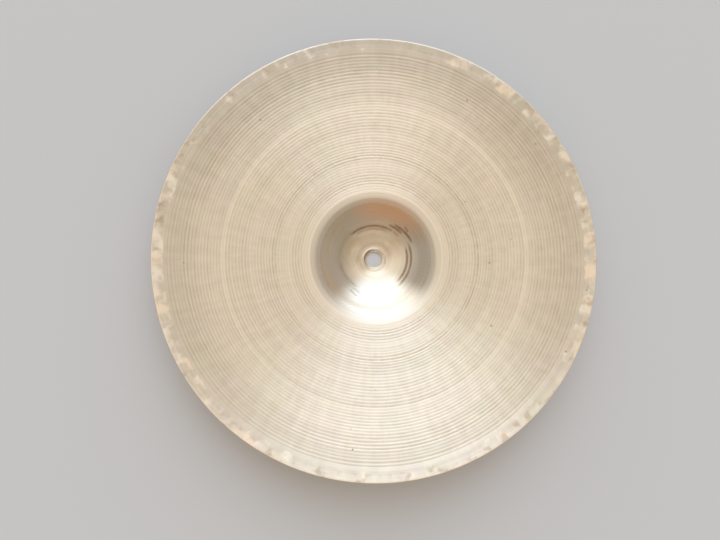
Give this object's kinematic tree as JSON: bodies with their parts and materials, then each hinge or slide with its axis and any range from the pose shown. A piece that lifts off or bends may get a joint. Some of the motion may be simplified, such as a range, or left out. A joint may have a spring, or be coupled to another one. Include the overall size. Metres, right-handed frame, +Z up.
{
  "type": "cymbal",
  "caption": "Bare lathed bronze cymbal, held or mounted by its centre hole, lying on its bell with the hollow side up.",
  "frame": {"origin": "on the axis of the centre hole, in the plane of the flat land on the crown of the bell that the cymbal stands on", "axes": "+Z up along the axis of the hole, towards the hollow face and the rim; X and Y lie in the plane of the land"},
  "size_m": [0.3556, 0.3556, 0.044],
  "materials": {
    "bronze": "lathed satin bronze with fine concentric grooves, a smoother bell and a worn rim"
  },
  "bodies": {
    "root": {"cymbal": "bronze"}
  },
  "joints": []
}
